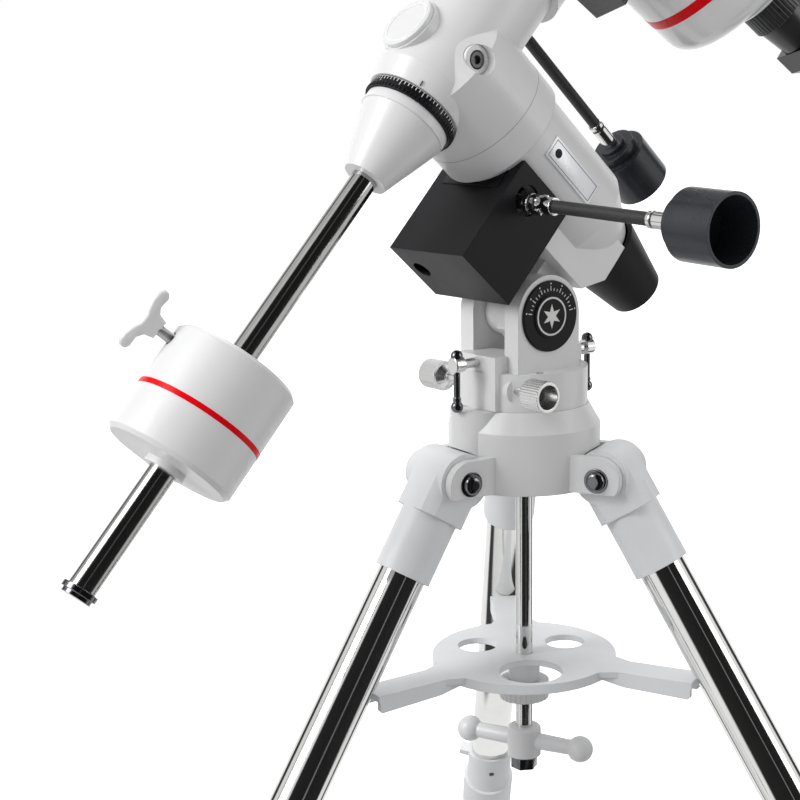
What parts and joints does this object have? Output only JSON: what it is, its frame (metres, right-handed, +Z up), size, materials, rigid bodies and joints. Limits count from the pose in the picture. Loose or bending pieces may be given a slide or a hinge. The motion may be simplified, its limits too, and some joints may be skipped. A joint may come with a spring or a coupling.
{
  "type": "telescope on tripod",
  "caption": "Compact reflecting telescope on an equatorial mount with a counterweight, on a folding steel tripod with a spreader tray.",
  "frame": {"origin": "on the ground, under the azimuth axis of the mount", "axes": "+Z up along the azimuth axis; -Y towards the sky end of the polar axis; +X along the latitude pivot, towards the polar axis's hand knob"},
  "size_m": [0.9435, 0.8845, 1.4484],
  "materials": {
    "white_paint": "warm white baked enamel, satin",
    "polished_steel": "mirror-polished stainless tube",
    "rubber": "matt black rubber",
    "white_plastic": "white moulded plastic, satin",
    "coated_glass": "multi-coated clear glass",
    "mirror_glass": "aluminised mirror",
    "shaft_sleeve": "black rubber sleeve with chrome ends",
    "black_plastic": "satin black moulded plastic",
    "black_metal": "black anodised aluminium"
  },
  "bodies": {
    "tripod": {"tripod_hub": "white_paint", "hinge_bolts": "polished_steel"},
    "leg_1": {"leg_bracket_1": "white_paint", "leg_tube_1": "polished_steel", "leg_clamp_1": "white_paint"},
    "lower_leg_1": {"lower_leg_1": "polished_steel", "rubber_foot_1": "rubber"},
    "leg_lock_1": {"leg_lock_1": "white_plastic"},
    "leg_2": {"leg_bracket_2": "white_paint", "leg_tube_2": "polished_steel", "leg_clamp_2": "white_paint"},
    "lower_leg_2": {"lower_leg_2": "polished_steel", "rubber_foot_2": "rubber"},
    "leg_lock_2": {"leg_lock_2": "white_plastic"},
    "leg_3": {"leg_bracket_3": "white_paint", "leg_tube_3": "polished_steel", "leg_clamp_3": "white_paint"},
    "lower_leg_3": {"lower_leg_3": "polished_steel", "rubber_foot_3": "rubber"},
    "leg_lock_3": {"leg_lock_3": "white_plastic"},
    "tray": {"spreader_tray": "white_paint"},
    "tray_knob": {"tray_knob": "white_plastic"},
    "mount_rod": {"centre_rod": "polished_steel", "rod_handle": "white_plastic"},
    "azimuth": {"azimuth_base": "white_paint", "latitude_pin": "black_metal"},
    "azimuth_knob_east": {"azimuth_knob_east": "white_plastic"},
    "azimuth_knob_west": {"azimuth_knob_west": "white_plastic"},
    "latitude_bolt_north": {"latitude_bolt_north": "polished_steel"},
    "latitude_bolt_south": {"latitude_bolt_south": "polished_steel"},
    "polar_housing": {"polar_housing": "white_paint", "drive_box": "black_plastic", "polar_rear_cap": "black_plastic"},
    "polar_control": {"polar_control_shaft": "shaft_sleeve", "polar_knob": "black_plastic"},
    "head": {"head_casting": "white_paint", "polar_front_cap": "white_paint", "polar_axle": "polished_steel", "shaft_nose": "white_paint", "counterweight_shaft": "polished_steel", "shaft_end_cap": "black_metal"},
    "declination_circle": {"declination_circle": "black_metal"},
    "counterweight": {"counterweight": "white_paint"},
    "wing_bolt": {"wing_bolt": "white_plastic"},
    "declination_control": {"declination_control_shaft": "shaft_sleeve", "declination_knob": "black_plastic"},
    "telescope": {"declination_axle": "polished_steel", "saddle": "black_metal", "dovetail_bar": "black_metal", "telescope_tube": "white_paint", "front_cell": "white_paint", "corrector_lens": "coated_glass", "rear_cell": "white_paint", "visual_back": "black_metal", "finder": "black_metal", "primary_mirror": "mirror_glass"},
    "saddle_screw": {"saddle_screw": "black_metal"},
    "star_diagonal": {"star_diagonal": "black_metal"},
    "eyepiece": {"eyepiece": "black_metal"},
    "focus_knob": {"focus_knob": "black_metal"}
  },
  "joints": [
    {"name": "tray_slide", "type": "slide", "parent": "tripod", "child": "tray", "axis": [0, 0, -1], "range_m": [0, 0.022]},
    {"name": "leg_fold_1", "type": "hinge", "parent": "tripod", "child": "leg_1", "pos_m": [-0.0061, -0.07425, 0.755], "axis": [0.9966, -0.0819, 0], "range_deg": [0, 3.04]},
    {"name": "leg_extend_1", "type": "slide", "parent": "leg_1", "child": "lower_leg_1", "axis": [-0.0426, -0.5178, -0.8545], "range_m": [-0.28, 0.05]},
    {"name": "leg_lock_turn_1", "type": "hinge", "parent": "leg_1", "child": "leg_lock_1", "pos_m": [-0.02773, -0.33728, 0.32094], "axis": [-0.07, -0.8516, 0.5195], "range_deg": [0, 360]},
    {"name": "leg_fold_2", "type": "hinge", "parent": "tripod", "child": "leg_2", "pos_m": [0.06735, 0.03184, 0.755], "axis": [-0.4274, 0.9041, 0], "range_deg": [0, 3.04]},
    {"name": "leg_extend_2", "type": "slide", "parent": "leg_2", "child": "lower_leg_2", "axis": [0.4697, 0.222, -0.8545], "range_m": [-0.28, 0.05]},
    {"name": "leg_lock_turn_2", "type": "hinge", "parent": "leg_2", "child": "leg_lock_2", "pos_m": [0.30596, 0.14463, 0.32094], "axis": [0.7725, 0.3652, 0.5195], "range_deg": [0, 360]},
    {"name": "leg_fold_3", "type": "hinge", "parent": "tripod", "child": "leg_3", "pos_m": [-0.06125, 0.04241, 0.755], "axis": [-0.5693, -0.8221, 0], "range_deg": [0, 3.04]},
    {"name": "leg_extend_3", "type": "slide", "parent": "leg_3", "child": "lower_leg_3", "axis": [-0.4271, 0.2958, -0.8545], "range_m": [-0.28, 0.05]},
    {"name": "leg_lock_turn_3", "type": "hinge", "parent": "leg_3", "child": "leg_lock_3", "pos_m": [-0.27823, 0.19265, 0.32094], "axis": [-0.7025, 0.4864, 0.5195], "range_deg": [0, 360]},
    {"name": "tray_knob_turn", "type": "hinge", "parent": "tray", "child": "tray_knob", "pos_m": [0, 0, 0.557], "axis": [0, 0, 1], "continuous": true},
    {"name": "mount_rod_turn", "type": "hinge", "parent": "tripod", "child": "mount_rod", "pos_m": [0, 0, 0.519], "axis": [0, 0, 1], "continuous": true},
    {"name": "azimuth_turn", "type": "hinge", "parent": "tripod", "child": "azimuth", "pos_m": [0, 0, 0.807], "axis": [0, 0, 1], "range_deg": [-8, 8]},
    {"name": "azimuth_knob_east_turn", "type": "hinge", "parent": "azimuth", "child": "azimuth_knob_east", "pos_m": [0.023, -0.035, 0.8235], "axis": [1, 0, 0], "continuous": true},
    {"name": "azimuth_knob_west_turn", "type": "hinge", "parent": "azimuth", "child": "azimuth_knob_west", "pos_m": [-0.023, -0.035, 0.8235], "axis": [-1, 0, 0], "continuous": true},
    {"name": "latitude_bolt_north_turn", "type": "hinge", "parent": "azimuth", "child": "latitude_bolt_north", "pos_m": [0, -0.05, 0.844], "axis": [0, -1, 0], "continuous": true},
    {"name": "latitude_bolt_south_turn", "type": "hinge", "parent": "azimuth", "child": "latitude_bolt_south", "pos_m": [0, 0.05, 0.844], "axis": [0, 1, 0], "continuous": true},
    {"name": "latitude_tilt", "type": "hinge", "parent": "azimuth", "child": "polar_housing", "pos_m": [0, -0.005, 0.88], "axis": [1, 0, 0], "range_deg": [-12, 12]},
    {"name": "polar_control_turn", "type": "hinge", "parent": "polar_housing", "child": "polar_control", "pos_m": [0, -0.03598, 0.97113], "axis": [0.9991, -0.028, -0.0311], "continuous": true},
    {"name": "polar_axis_turn", "type": "hinge", "parent": "polar_housing", "child": "head", "pos_m": [0, -0.08018, 1.07149], "axis": [0, -0.7431, 0.6691], "range_deg": [-60, 95]},
    {"name": "declination_circle_turn", "type": "hinge", "parent": "head", "child": "declination_circle", "pos_m": [0, -0.10828, 1.04028], "axis": [0, 0.6691, 0.7431], "continuous": true},
    {"name": "counterweight_slide", "type": "slide", "parent": "head", "child": "counterweight", "axis": [0, -0.6691, -0.7431], "range_m": [-0.15, 0.09]},
    {"name": "wing_bolt_turn", "type": "hinge", "parent": "counterweight", "child": "wing_bolt", "pos_m": [0, -0.27356, 0.85672], "axis": [-0.2419, -0.7211, 0.6493], "continuous": true},
    {"name": "declination_control_turn", "type": "hinge", "parent": "head", "child": "declination_control", "pos_m": [-0.054, -0.00992, 1.14952], "axis": [0, 0.7431, -0.6691], "continuous": true},
    {"name": "declination_turn", "type": "hinge", "parent": "head", "child": "telescope", "pos_m": [0, -0.08018, 1.07149], "axis": [0, 0.6691, 0.7431], "continuous": true},
    {"name": "saddle_screw_turn", "type": "hinge", "parent": "telescope", "child": "saddle_screw", "pos_m": [0.02374, -0.01922, 1.19692], "axis": [0.9563, -0.2173, 0.1956], "continuous": true},
    {"name": "focus_knob_turn", "type": "hinge", "parent": "telescope", "child": "focus_knob", "pos_m": [0.05497, 0.2448, 1.16373], "axis": [0.2924, 0.7107, -0.6399], "range_deg": [-1440, 1440]},
    {"name": "diagonal_turn", "type": "hinge", "parent": "telescope", "child": "star_diagonal", "pos_m": [0.06958, 0.25089, 1.09904], "axis": [-0.2924, -0.7107, 0.6399], "continuous": true},
    {"name": "eyepiece_slide", "type": "slide", "parent": "star_diagonal", "child": "eyepiece", "axis": [0, 0.6691, 0.7431], "range_m": [0, 0.02]}
  ],
  "couplings": [
    {"joint": "leg_fold_1", "follows": "tray_slide", "rad_per_m": 2.4},
    {"joint": "leg_fold_2", "follows": "tray_slide", "rad_per_m": 2.4},
    {"joint": "leg_fold_3", "follows": "tray_slide", "rad_per_m": 2.4}
  ]
}
